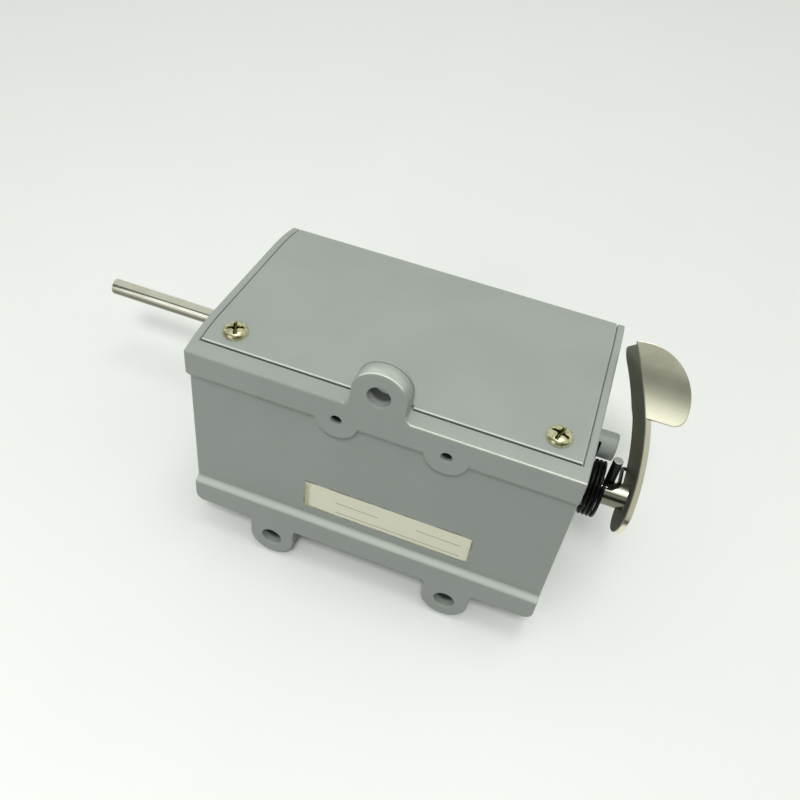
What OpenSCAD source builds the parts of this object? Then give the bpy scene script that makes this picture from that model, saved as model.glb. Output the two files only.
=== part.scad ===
// Mechanical revolution counter: five number wheels in a cast case with a
// sheet cover, a drive shaft on the left end and a sprung reset lever on the
// right end. Millimetres, +Z up, +Y from the mounting face to the window.
// The origin lies on the mounting face, midway between the two ear holes.

/* [Case] */
// Length of the case along the shafts
case_w = 122; // [118:1:140]
// Depth of the case from mounting face to window
case_d = 78; // [78:1:90]
// Height of the case at its crown
case_h = 70.5; // [70:0.5:80]
// Rise of the crown above the front and back edges
crown_rise = 2.5; // [1.5:0.5:4]
// Depth over which the crown falls away at each edge
crown_run = 18; // [14:1:24]
// Radius of the bend where the cover turns down at the front
bend_r = 3; // [2:0.5:5]
// Thickness of the two end walls
end_wall = 4.2; // [3.8:0.2:6]
// Thickness of the back wall at its bands
back_wall = 7; // [6.5:0.5:9]
// Thickness of the floor
floor_wall = 3.5; // [3:0.5:5]
// Radius of the bottom corners
foot_r = 3; // [1:0.5:4]

/* [Mounting face] */
// Distance between the two ear holes
ear_spacing = 64; // [56:1:80]
// Height of the case bottom above the ear holes
ear_drop = 6.75; // [6:0.25:9]
// Radius of the ears
ear_r = 8; // [7:0.5:9]
// Thickness of the ears
ear_t = 7; // [5:0.5:9]
// Radius of the ear and lug holes, clearance for M6
fix_hole_r = 3.5; // [3.1:0.1:3.6]
// Height of the lug hole above the crown
lug_rise = 4; // [3:0.5:6]
// Radius of the lug
lug_r = 8.5; // [8:0.5:10]
// Thickness of the lug from the mounting face
lug_t = 6.8; // [6:0.2:8]
// Depth of the recess between the two bands
recess_d = 2.4; // [1:0.2:3]
// Height of the lower band
lower_band = 8.75; // [7:0.25:10]
// Height of the upper band down from the crown
upper_band = 11; // [10:0.5:13]
// Distance between the two tapped holes
tap_spacing = 33.9; // [30:0.1:36]
// Offset of the tapped pair from the middle
tap_offset = 5.05; // [0:0.05:8]
// Core radius of the tapped holes, M4
tap_r = 1.65; // [1.2:0.05:2.1]
// Radius of the pads round the tapped holes
tap_pad_r = 7; // [5:0.5:8]

/* [Cover] */
// Sheet thickness of the cover
cover_t = 1.2; // [1:0.1:1.6]
// Gap round the cover in its rebate
cover_gap = 0.3; // [0.2:0.05:0.5]
// Width of the case rims beside the cover
rim_w = 2.4; // [2:0.2:2.8]
// Width of the case rim along the mounting face
back_rim = 5.4; // [5:0.2:5.8]
// Distance of the cover screws from the ends of the case
screw_in = 10.8; // [10:0.2:14]
// Distance of the top screws from the mounting face
screw_y = 12.2; // [11.8:0.1:14.5]
// Height of the front screws above the case bottom
screw_z = 10; // [9:0.5:12]
// Radius of the screw heads
screw_head_r = 3.85; // [3.5:0.05:4.2]
// Shank radius of the screws, M4
screw_r = 2; // [1.5:0.1:2.2]

/* [Window] */
// Width of the window opening
window_w = 74; // [72:1:80]
// Height of the window opening
window_h = 13; // [10:0.5:15]
// Thickness of the pane
pane_t = 2; // [1:0.5:2]
// Thickness of the mask behind the pane
mask_t = 0.5; // [0.3:0.1:0.8]
// Distance that the pane laps the opening
pane_lap = 3; // [2:0.5:4]

/* [Drive] */
// Distance of the drive shaft from the window side
drive_in = 23; // [22.5:0.5:24]
// Height of the drive shaft above the case bottom
drive_h = 34; // [33:0.5:35]
// Radius of the drive and reset shafts outside the case
shaft_r = 3; // [2.5:0.1:3.2]
// Length of the drive shaft outside the case
shaft_out = 64; // [20:1:90]
// Radial clearance of turning pieces on shafts
run_gap = 0.04; // [0.02:0.01:0.08]

/* [Number wheels] */
// Radius of the number wheels
wheel_r = 17.5; // [17:0.1:17.5]
// Distance between neighbouring wheels
wheel_pitch = 14.5; // [14:0.1:15]
// Width of the numbered rim
rim_band = 8.5; // [8:0.1:8.5]
// Module of the wheel and pinion teeth
tooth_m = 1.46; // [1.45:0.01:1.48]

/* [Reset] */
// Distance of the reset shaft from the mounting face
reset_y = 22.5; // [22:0.5:23]
// Height of the reset shaft above the case bottom
reset_h = 45; // [44:0.5:46]
// Angle of the lever above the horizontal at rest
lever_angle = 46; // [40:1:50]
// Travel of the lever until the stop pin meets its boss
reset_travel = 41; // [36:1:41]
// Sheet thickness of the lever
lever_t = 2; // [1.8:0.1:2.4]
// Width of the lever arm
lever_w = 13; // [11:0.5:13]
// Radius to which the arm is bowed towards the case
lever_bow_r = 88; // [86:1:110]
// Radius of the thumb pad's round edge
pad_r = 16.7; // [14:0.1:18]
// Wire diameter of the torsion spring
wire_d = 1.2; // [1:0.1:1.2]
// Outer radius of the torsion spring
coil_r = 8.95; // [8.8:0.05:9]
// Radius of the stop boss on the end wall
boss_r = 4.5; // [4:0.1:4.5]
// Radius of the stop pin
stop_pin_r = 1.5; // [1.2:0.1:1.5]
// Reach of the stop pin from the shaft's axis
stop_pin_reach = 14.2; // [14.2:0.1:15]

/* [Label] */
// Width of the paper label
label_w = 56.5; // [30:0.5:60]
// Height of the paper label
label_h = 11.5; // [8:0.5:14]
// Offset of the label from the middle
label_x = 7.2; // [0:0.1:12]

/* [Hidden] */
$fn = 48;
eps = 0.01;

// Heights above the origin
base_z = ear_drop;
top_z = base_z + case_h;
crown_r = (crown_run * crown_run + crown_rise * crown_rise) / (2 * crown_rise);
crown_z = top_z - crown_r;
half_w = case_w / 2;
inner_w = half_w - end_wall;
lug_z = top_z + lug_rise;
lug_root = 3;
rim_z = top_z - crown_rise;

// Mounting face
band_top_z = top_z - upper_band;
recess_step = 3.2;
curve_h = 2.1;
curve_steps = 10;
tap_z = top_z - upper_band + 0.9;

// Cover and window
cover_half = half_w - rim_w - cover_gap;
screw_x = half_w - screw_in;
lip_h = 4.3;
window_z = base_z + drive_h;
screw_head_h = 2.2;
screw_len = 9;
screw_block = 5;
ledge_w = 3;
ledge_h = 6;
block_drop = 16;
block_h = block_drop + 4;
cover_hole_r = screw_r + 0.15;

// Drive line
drive_y = case_d - drive_in;
drive_z = base_z + drive_h;
journal_r = shaft_r - 0.5;
bore_r = journal_r + run_gap;
bush_r = 4.5;
bush_flange_r = 6;
bush_flange_t = 1.2;
bush_len = 8;
clip_t = 0.8;
groove_r = journal_r - 0.55;
clip_r = journal_r + 2.4;

// Wheels and pinions: 20 wheel teeth to 8 pinion teeth
wheel_teeth = 20;
pinion_teeth = 8;
wheel_count = 5;
mesh_d = tooth_m * (wheel_teeth + pinion_teeth) / 2;
mesh_angle = 233;
pinion_y = drive_y + mesh_d * cos(mesh_angle);
pinion_z = drive_z + mesh_d * sin(mesh_angle);
half_rim = rim_band / 2;
gear_w = 2.25;
lock_w = 1.75;
cam_w = 1.7;
lock_r = mesh_d - tooth_m * (pinion_teeth / 2 + 1) - 0.35;
cam_lobe_r = 4.5;
cam_tip_r = 9;
pinion_w = wheel_pitch - rim_band - 0.5;
pinion_shaft_r = 1.5;
spacer_r = 2.5;

// Reset line
reset_z = base_z + reset_h;
shoulder_x = half_w + 14.5;
rivet_r = 2.4;
hub_r = 4;
hub_x = half_w + 3;
rivet_x = shoulder_x + lever_t;
stop_pin_x = half_w + 8.1;
boss_len = 7.7;
coil_mid_r = coil_r - wire_d / 2;
boss_y = reset_y + coil_mid_r + wire_d / 2 + boss_r + 0.05;
boss_z = reset_z + 6.25;
comb_gap = 0.4;
comb_reach = norm([drive_y - reset_y, drive_z - reset_z]) - cam_tip_r - comb_gap;
comb_angle = reset_travel + atan2(drive_z - reset_z, drive_y - reset_y);
finger_t = 1.2;

// Place of a wheel by its number, units at the drive end
function wheel_x(k) = (k - 3) * wheel_pitch;

// Half outline of one tooth as angle and radius pairs
function tooth(a, root, tip, ra, pa, ta, pr) = [
    [root, a - ra], [pr, a - pa], [tip, a - ta],
    [tip, a + ta], [pr, a + pa], [root, a + ra]
];
function polar(p) = [p[0] * cos(p[1]), p[0] * sin(p[1])];
function gear_points(n, root, pr, tip, ra, pa, ta, phase) = [
    for (i = [0:n - 1])
        for (p = tooth(phase + i * 360 / n, root, tip, ra, pa, ta, pr)) polar(p)
];

// Turns the Z axis of its children to +X and stands them on a plane x
module along_x(x, y, z) {
    translate([x, y, z]) rotate([90, 0, 90]) children();
}

// Round bar along X from x0 to x1
module bar_x(x0, x1, y, z, r) {
    translate([x0, y, z]) rotate([0, 90, 0]) cylinder(h = x1 - x0, r = r);
}

// Outline of top and front in Y and Z, drawn in by e
module top_outline(e) {
    bend_z = crown_z + sqrt(pow(crown_r - bend_r, 2) - pow(crown_run - bend_r, 2));
    bend_y = case_d - bend_r;
    touch = (crown_run - bend_r) / (crown_r - bend_r);
    touch_y = case_d - crown_run + crown_r * touch;
    intersection() {
        translate([-case_d, -case_d]) square([2 * case_d - e, case_d + top_z - e]);
        union() {
            translate([crown_run, -case_d]) square([case_d - 2 * crown_run, 3 * case_d]);
            translate([crown_run, crown_z]) circle(r = crown_r - e, $fn = 180);
            translate([case_d - crown_run, crown_z]) circle(r = crown_r - e, $fn = 180);
        }
        union() {
            translate([-case_d, -case_d]) square([case_d + touch_y, 3 * case_d]);
            translate([-case_d, -case_d]) square([2 * case_d, case_d + bend_z]);
            translate([bend_y, bend_z]) circle(r = bend_r - e);
        }
    }
}

// Recess between the bands, with a step at the top and a soft curve below
module recess_outline() {
    low = base_z + lower_band;
    curve = [
        for (i = [0:curve_steps])
            [recess_d * (1 - cos(180 * i / curve_steps)) / 2, low + curve_h * i / curve_steps]
    ];
    rest = [
        [recess_d, band_top_z - recess_step], [recess_d - 0.6, band_top_z - recess_step + 0.7],
        [0, band_top_z], [-1, band_top_z], [-1, low]
    ];
    polygon(concat(curve, rest));
}

// Case outline seen from the mounting side, with round bottom corners
module foot_outline() {
    translate([-half_w, base_z + foot_r]) square([case_w, case_h]);
    translate([foot_r - half_w, base_z]) square([case_w - 2 * foot_r, case_h]);
    for (s = [-1, 1]) translate([s * (half_w - foot_r), base_z + foot_r]) circle(r = foot_r);
}

// Outline of the two ears and the lug in X and Z
module ear_outline() {
    for (s = [-1, 1]) translate([s * ear_spacing / 2, 0]) {
        circle(r = ear_r);
        translate([-ear_r, 0]) square([2 * ear_r, ear_drop + 1]);
        polygon([
            [-ear_r - 1.5, ear_drop + eps], [-ear_r - 0.4, ear_drop - 0.4], [-ear_r, ear_drop - 1.5],
            [ear_r, ear_drop - 1.5], [ear_r + 0.4, ear_drop - 0.4], [ear_r + 1.5, ear_drop + eps]
        ]);
    }
}
module lug_outline() {
    translate([0, lug_z]) circle(r = lug_r);
    translate([-lug_r, rim_z - 1]) square([2 * lug_r, lug_z - rim_z + 1]);
}
// Hollow curves between the lug's flanks and the rim
module lug_roots() {
    arc_z = rim_z + lug_root - 0.2;
    difference() {
        translate([-lug_r - lug_root, rim_z - 1]) square([2 * (lug_r + lug_root), lug_root + 0.5]);
        for (s = [-1, 1]) translate([s * (lug_r + lug_root), arc_z]) circle(r = lug_root);
    }
}

// Drops its children onto the crown with their Z axis square to the cover
module on_cover(x, y) {
    a = asin((crown_run - y) / crown_r);
    translate([x, crown_run, crown_z]) rotate([a, 0, 0]) translate([0, 0, crown_r]) children();
}

module case_block() {
    intersection() {
        along_x(-half_w, 0, 0) linear_extrude(case_w) top_outline(0);
        translate([0, case_d, 0]) rotate([90, 0, 0]) linear_extrude(case_d) foot_outline();
    }
}

module case_cavity() {
    w = 2 * inner_w;
    difference() {
        intersection() {
            translate([-inner_w, back_wall, base_z + floor_wall]) cube([w, case_d, 2 * case_h]);
            along_x(-half_w, 0, 0) linear_extrude(case_w) top_outline(-1);
        }
        // Ledge behind the cover's lower edge and along the back rim
        translate([-inner_w, case_d - 4, base_z]) cube([w, 4 - cover_t, lip_h + 3]);
        translate([-inner_w, case_d - cover_t - eps, base_z]) cube([w, 4, lip_h]);
        translate([-inner_w, 0, top_z - ledge_h]) cube([w, back_rim + ledge_w, 2 * ledge_h]);
        for (s = [-1, 1]) {
            corner = s * (screw_x + inner_w) / 2;
            block_w = inner_w - screw_x + screw_block;
            // Corner blocks that take the cover screws
            translate([s * screw_x - screw_block, back_wall - 1, top_z - block_drop])
                cube([2 * screw_block, screw_y - back_wall + 1, block_h]);
            translate([s * screw_x, screw_y, top_z - block_drop])
                cylinder(h = block_h, r = screw_block);
            translate([corner - block_w / 2 + s * screw_block / 2, back_wall - 1, top_z - block_drop])
                cube([block_w, screw_y - back_wall + 1, block_h]);
            translate([s * screw_x - screw_block, case_d - 12, base_z])
                cube([2 * screw_block, 12 - cover_t, screw_z + screw_block]);
        }
        // Bearing bosses inside the end walls
        for (s = [-1, 1]) {
            for (p = [[drive_y, drive_z], [reset_y, reset_z]]) {
                bar_x(
                    s > 0 ? half_w - bush_len : -half_w, s > 0 ? half_w : bush_len - half_w,
                    p[0], p[1], bush_r + 2.5
                );
            }
        }
    }
}

module case() {
    color([0.62, 0.65, 0.63]) difference() {
        union() {
            difference() {
                case_block();
                case_cavity();
                // Rebate for the cover
                intersection() {
                    translate([-half_w + rim_w, back_rim, base_z + lip_h])
                        cube([case_w - 2 * rim_w, case_d, 2 * case_h]);
                    along_x(-half_w, 0, 0) linear_extrude(case_w) difference() {
                        top_outline(-2);
                        top_outline(cover_t);
                    }
                }
                along_x(-half_w - 1, 0, 0) linear_extrude(case_w + 2) recess_outline();
            }
            translate([0, ear_t, 0]) rotate([90, 0, 0]) linear_extrude(ear_t) ear_outline();
            translate([0, lug_t, 0]) rotate([90, 0, 0]) linear_extrude(lug_t) lug_outline();
            translate([0, back_rim, 0]) rotate([90, 0, 0]) linear_extrude(back_rim) lug_roots();
            // Pads flush with the upper band, round the tapped holes
            for (s = [-1, 1]) translate([tap_offset + s * tap_spacing / 2, 0, tap_z])
                rotate([-90, 0, 0]) cylinder(h = back_wall - 1, r = tap_pad_r);
            bar_x(half_w - 1, half_w + boss_len, boss_y, boss_z, boss_r);
        }
        for (x = [-ear_spacing / 2, ear_spacing / 2])
            translate([x, -1, 0]) rotate([-90, 0, 0]) cylinder(h = ear_t + 2, r = fix_hole_r);
        translate([0, -1, lug_z]) rotate([-90, 0, 0]) cylinder(h = lug_t + 2, r = fix_hole_r);
        for (s = [-1, 1]) translate([tap_offset + s * tap_spacing / 2, -1, tap_z])
            rotate([-90, 0, 0]) cylinder(h = back_wall + 2, r = tap_r);
        for (p = [[drive_y, drive_z], [reset_y, reset_z]])
            bar_x(-half_w - 1, half_w + 1, p[0], p[1], bush_r);
        bar_x(-inner_w - 2.5, inner_w + 2.5, pinion_y, pinion_z, pinion_shaft_r);
        for (s = [-1, 1]) {
            on_cover(s * screw_x, screw_y) translate([0, 0, -screw_len - 1])
                cylinder(h = screw_len + 2, r = screw_r);
            translate([s * screw_x, case_d - screw_len - 1, base_z + screw_z])
                rotate([-90, 0, 0]) cylinder(h = screw_len + 2, r = screw_r);
        }
    }
}

module cover() {
    color([0.66, 0.69, 0.66]) difference() {
        intersection() {
            translate([-cover_half, back_rim + cover_gap, base_z + lip_h + cover_gap])
                cube([2 * cover_half, case_d, 2 * case_h]);
            along_x(-half_w, 0, 0) linear_extrude(case_w) difference() {
                top_outline(0);
                top_outline(cover_t);
            }
        }
        // Notch for the lug
        translate([-lug_r - cover_gap, 0, rim_z - crown_rise])
            cube([2 * (lug_r + cover_gap), lug_t + cover_gap, 3 * crown_rise]);
        translate([-window_w / 2, case_d - 5, window_z - window_h / 2])
            cube([window_w, 10, window_h]);
        for (s = [-1, 1]) {
            on_cover(s * screw_x, screw_y) translate([0, 0, -3])
                cylinder(h = 6, r = cover_hole_r);
            translate([s * screw_x, case_d - 3, base_z + screw_z])
                rotate([-90, 0, 0]) cylinder(h = 6, r = cover_hole_r);
        }
    }
}

// Pan head screw with a cross recess, head seat at z = 0
module pan_screw() {
    dome_r = 2.6 * screw_head_r;
    slot_w = 1;
    translate([0, 0, -screw_len]) cylinder(h = screw_len + eps, r = screw_r);
    difference() {
        intersection() {
            cylinder(h = screw_head_h, r = screw_head_r);
            translate([0, 0, screw_head_h - dome_r]) sphere(r = dome_r, $fn = 96);
        }
        for (a = [0, 90]) rotate([0, 0, a + 20])
            translate([-screw_head_r * 0.55, -slot_w / 2, screw_head_h - 1.4])
                cube([screw_head_r * 1.1, slot_w, 3]);
    }
}

module cover_screws() {
    color([0.8, 0.7, 0.35]) for (s = [-1, 1]) {
        on_cover(s * screw_x, screw_y) pan_screw();
        translate([s * screw_x, case_d, base_z + screw_z]) rotate([-90, 0, 0]) pan_screw();
    }
}

module window_pane() {
    w = window_w + 2 * pane_lap;
    h = window_h + 2 * pane_lap;
    color([0.8, 0.9, 0.9, 0.4]) translate([-w / 2, case_d - cover_t - pane_t, window_z - h / 2])
        cube([w, pane_t, h]);
}

module window_mask() {
    w = window_w + 2 * pane_lap;
    h = window_h + 2 * pane_lap;
    back = case_d - cover_t - pane_t - mask_t;
    color([0.08, 0.08, 0.08]) difference() {
        translate([-w / 2, back, window_z - h / 2]) cube([w, mask_t, h]);
        for (k = [1:wheel_count])
            translate([wheel_x(k) - half_rim + 0.5, back - 1, window_z - window_h / 2 + 1])
                cube([rim_band - 1, mask_t + 2, window_h - 2]);
    }
}

module label() {
    paper_t = 0.15;
    above_curve = 3.75;
    low = base_z + lower_band + curve_h + above_curve;
    color([0.88, 0.86, 0.76]) translate([label_x - label_w / 2, recess_d - paper_t, low])
        cube([label_w, paper_t, label_h]);
}

// Flanged bush with its flange outside the wall at x = 0, sleeve towards +X
module bush() {
    difference() {
        union() {
            bar_x(-eps, bush_len, 0, 0, bush_r);
            bar_x(-bush_flange_t, 0, 0, 0, bush_flange_r);
        }
        bar_x(-bush_flange_t - 1, bush_len + 1, 0, 0, bore_r);
    }
}

module bushes() {
    color([0.75, 0.6, 0.35]) for (p = [[drive_y, drive_z], [reset_y, reset_z]]) {
        translate([-half_w, p[0], p[1]]) bush();
        translate([half_w, p[0], p[1]]) mirror([1, 0, 0]) bush();
    }
}

// Ring groove cut for a clip, used as a cutter
module clip_groove(x) {
    difference() {
        bar_x(x, x + clip_t, 0, 0, shaft_r + 1);
        bar_x(x - 1, x + clip_t + 1, 0, 0, groove_r);
    }
}

// Open retaining clip that sits in its groove
module clip(x) {
    difference() {
        bar_x(x, x + clip_t, 0, 0, clip_r);
        bar_x(x - 1, x + clip_t + 1, 0, 0, groove_r);
        translate([x - 1, -groove_r * 0.8, 0]) cube([clip_t + 2, groove_r * 1.6, clip_r + 1]);
    }
}

inner_clip_x = half_w - bush_len - clip_t - 0.2;
journal_x = half_w + bush_flange_t + 0.3;
stack_clip_x = wheel_x(wheel_count) + half_rim + lock_w + cam_w + 0.3;

module drive_shaft() {
    chamfer = 0.5;
    x0 = -half_w - shaft_out;
    color([0.78, 0.74, 0.66]) translate([0, drive_y, drive_z]) difference() {
        union() {
            bar_x(x0 + chamfer, -journal_x, 0, 0, shaft_r);
            bar_x(-journal_x - eps, half_w, 0, 0, journal_r);
            translate([x0, 0, 0]) rotate([0, 90, 0])
                cylinder(h = chamfer, r1 = shaft_r - chamfer, r2 = shaft_r);
        }
        clip_groove(-inner_clip_x - clip_t);
        clip_groove(stack_clip_x);
        clip_groove(inner_clip_x);
        translate([disc_pin_x, 0, -shaft_r - 1]) cylinder(h = 2 * shaft_r + 2, r = disc_pin_r);
    }
}

module drive_clips() {
    color([0.25, 0.25, 0.25]) translate([0, drive_y, drive_z]) {
        clip(-inner_clip_x - clip_t);
        clip(stack_clip_x);
        clip(inner_clip_x);
    }
}

disc_x = wheel_x(0) + half_rim;
disc_hub_r = 6;
disc_hub_x = 0.3 - inner_clip_x;
disc_end_x = disc_x + lock_w + cam_w;
disc_collar_r = 5;
disc_pin_r = 1;
disc_pin_x = (disc_hub_x + disc_x) / 2;

// Plain locking disc with a notch on each side of its driving tooth
module lock_disc(x) {
    notch = 2.4;
    difference() {
        bar_x(x, x + lock_w, 0, 0, lock_r);
        for (s = [-1, 1]) rotate([mesh_angle + 180 + s * 13, 0, 0])
            translate([x - 1, lock_r - notch, -notch / 2]) cube([lock_w + 2, 2 * notch, notch]);
    }
}

module drive_disc() {
    color([0.8, 0.68, 0.4]) translate([0, drive_y, drive_z]) difference() {
        union() {
            bar_x(disc_hub_x, disc_x + eps, 0, 0, disc_hub_r);
            lock_disc(disc_x);
            bar_x(disc_x + lock_w - eps, disc_end_x, 0, 0, disc_collar_r);
        }
        bar_x(disc_hub_x - 1, disc_end_x + 1, 0, 0, journal_r);
        translate([disc_pin_x, 0, -disc_hub_r - 1]) cylinder(h = 2 * disc_hub_r + 2, r = disc_pin_r);
    }
}

module disc_pin() {
    color([0.4, 0.4, 0.4]) translate([disc_pin_x, drive_y, drive_z - disc_hub_r])
        cylinder(h = 2 * disc_hub_r, r = disc_pin_r);
}

// Wheel teeth, one tooth facing the pinion shaft
module wheel_gear() {
    linear_extrude(gear_w + eps) polygon(gear_points(
        wheel_teeth, tooth_m * 8.75, tooth_m * 10, tooth_m * 11, 5.6, 4.1, 1.9, mesh_angle
    ));
}

// Heart-shaped cam that the reset comb presses on
module heart_cam() {
    linear_extrude(cam_w + eps) {
        for (s = [-1, 1]) translate([s * 2.8, 1.8]) circle(r = cam_lobe_r);
        polygon([[-7, 0], [7, 0], [1, -cam_tip_r + 0.5], [-1, -cam_tip_r + 0.5]]);
    }
}

module number_wheel(k) {
    web = 2;
    rim_t = 2.6;
    hub_r = 5;
    color([0.93, 0.93, 0.9]) translate([wheel_x(k), drive_y, drive_z]) difference() {
        union() {
            difference() {
                bar_x(-half_rim, half_rim, 0, 0, wheel_r);
                bar_x(-half_rim + web, half_rim + 1, 0, 0, wheel_r - rim_t);
            }
            along_x(-half_rim - gear_w, 0, 0) wheel_gear();
            bar_x(-half_rim - gear_w, half_rim + eps, 0, 0, hub_r);
            lock_disc(half_rim);
            along_x(half_rim + lock_w - eps, 0, 0) heart_cam();
        }
        bar_x(-half_rim - gear_w - 1, half_rim + lock_w + cam_w + 1, 0, 0, bore_r);
    }
}
module number_wheel_1() number_wheel(1);
module number_wheel_2() number_wheel(2);
module number_wheel_3() number_wheel(3);
module number_wheel_4() number_wheel(4);
module number_wheel_5() number_wheel(5);

module pinion_shaft() {
    color([0.7, 0.7, 0.72])
        bar_x(-inner_w - 2.5, inner_w + 2.5, pinion_y, pinion_z, pinion_shaft_r);
}

// The wide teeth reach over the locking disc, the others only over the wheel teeth
module transfer_pinion(k) {
    x0 = wheel_x(k - 1) + half_rim + 0.25;
    wide = lock_w + 1.4;
    phase = mesh_angle + 180 + 180 / pinion_teeth;
    color([0.85, 0.72, 0.4]) translate([0, pinion_y, pinion_z]) difference() {
        union() {
            along_x(x0 + wide, 0, 0) linear_extrude(pinion_w - wide) polygon(gear_points(
                pinion_teeth, tooth_m * 2.75, tooth_m * 4, tooth_m * 5, 13, 9, 3.5, phase
            ));
            along_x(x0, 0, 0) linear_extrude(wide + eps) polygon(gear_points(
                pinion_teeth / 2, tooth_m * 2.75, tooth_m * 4, tooth_m * 5, 13, 9, 3.5, phase
            ));
            bar_x(x0, x0 + pinion_w, 0, 0, tooth_m * 2.6);
        }
        bar_x(x0 - 1, x0 + pinion_w + 1, 0, 0, pinion_shaft_r + run_gap);
    }
}
module transfer_pinion_1() transfer_pinion(1);
module transfer_pinion_2() transfer_pinion(2);
module transfer_pinion_3() transfer_pinion(3);
module transfer_pinion_4() transfer_pinion(4);
module transfer_pinion_5() transfer_pinion(5);

module spacer(x0, x1) {
    color([0.75, 0.75, 0.75]) difference() {
        bar_x(x0, x1, pinion_y, pinion_z, spacer_r);
        bar_x(x0 - 1, x1 + 1, pinion_y, pinion_z, pinion_shaft_r);
    }
}

module pinion_spacers() {
    side = 0.15;
    first = wheel_x(0) + half_rim + 0.25;
    spacer(-inner_w, first - side);
    for (k = [1:wheel_count - 1])
        spacer(first + (k - 1) * wheel_pitch + pinion_w + side, first + k * wheel_pitch - side);
    spacer(first + (wheel_count - 1) * wheel_pitch + pinion_w + side, inner_w);
}

module reset_shaft() {
    rivet_head_r = 3.6;
    seat_gap = 0.06;
    color([0.78, 0.72, 0.6]) translate([0, reset_y, reset_z]) difference() {
        union() {
            bar_x(-half_w, journal_x + eps, 0, 0, journal_r);
            bar_x(journal_x, shoulder_x - 1, 0, 0, shaft_r);
            bar_x(hub_x, shoulder_x - seat_gap, 0, 0, hub_r);
            bar_x(shoulder_x - 1, rivet_x + eps, 0, 0, rivet_r);
            bar_x(rivet_x, rivet_x + 0.5, 0, 0, rivet_head_r);
            along_x(rivet_x + 0.5 - eps, 0, 0)
                cylinder(h = 0.8, r1 = rivet_head_r, r2 = rivet_head_r - 1.1);
        }
        clip_groove(-inner_clip_x - clip_t);
        clip_groove(inner_clip_x);
        for (x = comb_pin_x) translate([x, 0, -shaft_r - 1])
            cylinder(h = 2 * shaft_r + 2, r = disc_pin_r);
        translate([stop_pin_x, 0, -hub_r - 1]) cylinder(h = 2 * hub_r + 2, r = stop_pin_r);
    }
}

module reset_clips() {
    color([0.25, 0.25, 0.25]) translate([0, reset_y, reset_z]) {
        clip(-inner_clip_x - clip_t);
        clip(inner_clip_x);
    }
}

comb_hub_r = 5;
comb_end = 4;
comb_x0 = wheel_x(0) + comb_end;
comb_x1 = wheel_x(wheel_count) + half_rim + lock_w + cam_w + comb_end;
comb_pin_x = [comb_x0 + 2 * comb_end, comb_x1 - comb_end / 2];

// Tube with one finger for each heart cam
module reset_comb() {
    root_w = 9;
    tip_w = 4.5;
    neck = comb_reach - 6;
    color([0.7, 0.7, 0.7]) translate([0, reset_y, reset_z]) difference() {
        union() {
            bar_x(comb_x0, comb_x1, 0, 0, comb_hub_r);
            for (k = [1:wheel_count])
                along_x(wheel_x(k) + half_rim + lock_w + (cam_w - finger_t) / 2, 0, 0)
                    rotate([0, 0, comb_angle]) linear_extrude(finger_t) polygon([
                        [0, -root_w / 2], [neck, -tip_w / 2], [comb_reach, -tip_w / 2],
                        [comb_reach, tip_w / 2], [neck, tip_w / 2], [0, root_w / 2]
                    ]);
        }
        bar_x(comb_x0 - 1, comb_x1 + 1, 0, 0, journal_r);
        for (x = comb_pin_x) translate([x, 0, -comb_hub_r - 1])
            cylinder(h = 2 * comb_hub_r + 2, r = disc_pin_r);
    }
}

module comb_pins() {
    color([0.4, 0.4, 0.4]) for (x = comb_pin_x)
        translate([x, reset_y, reset_z - comb_hub_r]) cylinder(h = 2 * comb_hub_r, r = disc_pin_r);
}

module stop_pin() {
    chamfer = 0.3;
    color([0.12, 0.12, 0.12]) translate([stop_pin_x, reset_y, reset_z]) {
        translate([0, 0, -hub_r - 0.4])
            cylinder(h = hub_r + 0.4 + stop_pin_reach - chamfer, r = stop_pin_r);
        translate([0, 0, stop_pin_reach - chamfer])
            cylinder(h = chamfer, r1 = stop_pin_r, r2 = stop_pin_r - chamfer);
    }
}

// Thumb pad, dished along the arm: s runs along the arm from the shaft, n square to it
pad_s = 30;
pad_low = 24.6;
dish_s = pad_s + 4;
dish_r = 60;
arm_front = 5.75;
dish_n = arm_front + sqrt(pow(dish_r, 2) - pow(dish_s - pad_low, 2));

// Torsion spring as a swept wire. It starts on the stop boss, winds round the
// shaft, passes the root of the stop pin and ends in a hook behind the lever arm.
coil_gap = 0.06;
coil_stand = 1.4;
coil_pitch = wire_d + coil_gap;
coil_x = half_w + wire_d / 2 + coil_stand;
leg_len = 11;
hook_s = 8.5;
hook_over = 1.5;
arm_lean = 9;
hook_n = arm_front - lever_w - wire_d / 2 - lever_t * sin(arm_lean) - 0.2;
hook_x = shoulder_x - 2.2;
hook_r = sqrt(hook_s * hook_s + hook_n * hook_n);
hook_a = lever_angle + atan2(hook_n, hook_s);
leave_a = 125;
pass_r = stop_pin_r + wire_d / 2 + 0.3;
pass_z = hub_r + wire_d / 2 + 0.3;
coil_turn = 3 * 360 + 360 - leave_a;
coil_steps = 96;
wire_sides = 8;
function coil_point(i) =
    let (a = -coil_turn * i / coil_steps)
    [coil_x + coil_pitch * coil_turn / 360 * i / coil_steps, coil_mid_r * cos(a), coil_mid_r * sin(a)];
hook_y = hook_r * cos(hook_a);
hook_z = hook_r * sin(hook_a);
spring_path = concat(
    [[coil_x, coil_mid_r, leg_len], [coil_x, coil_mid_r, leg_len / 2]],
    [for (i = [0:coil_steps]) coil_point(i)],
    [
        [stop_pin_x - pass_r / 2, -pass_r, pass_z + wire_d / 2],
        [stop_pin_x + pass_r / 2, -pass_r, pass_z],
        [stop_pin_x + pass_r + wire_d / 2, 0, pass_z],
        [hook_x - wire_d / 2, hook_y, hook_z], [hook_x, hook_y, hook_z],
        [shoulder_x + lever_t + hook_over, hook_y, hook_z]
    ]
);
function unit(v) = v / norm(v);
function path_dir(p, i) = unit(p[min(i + 1, len(p) - 1)] - p[max(i - 1, 0)]);
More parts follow.
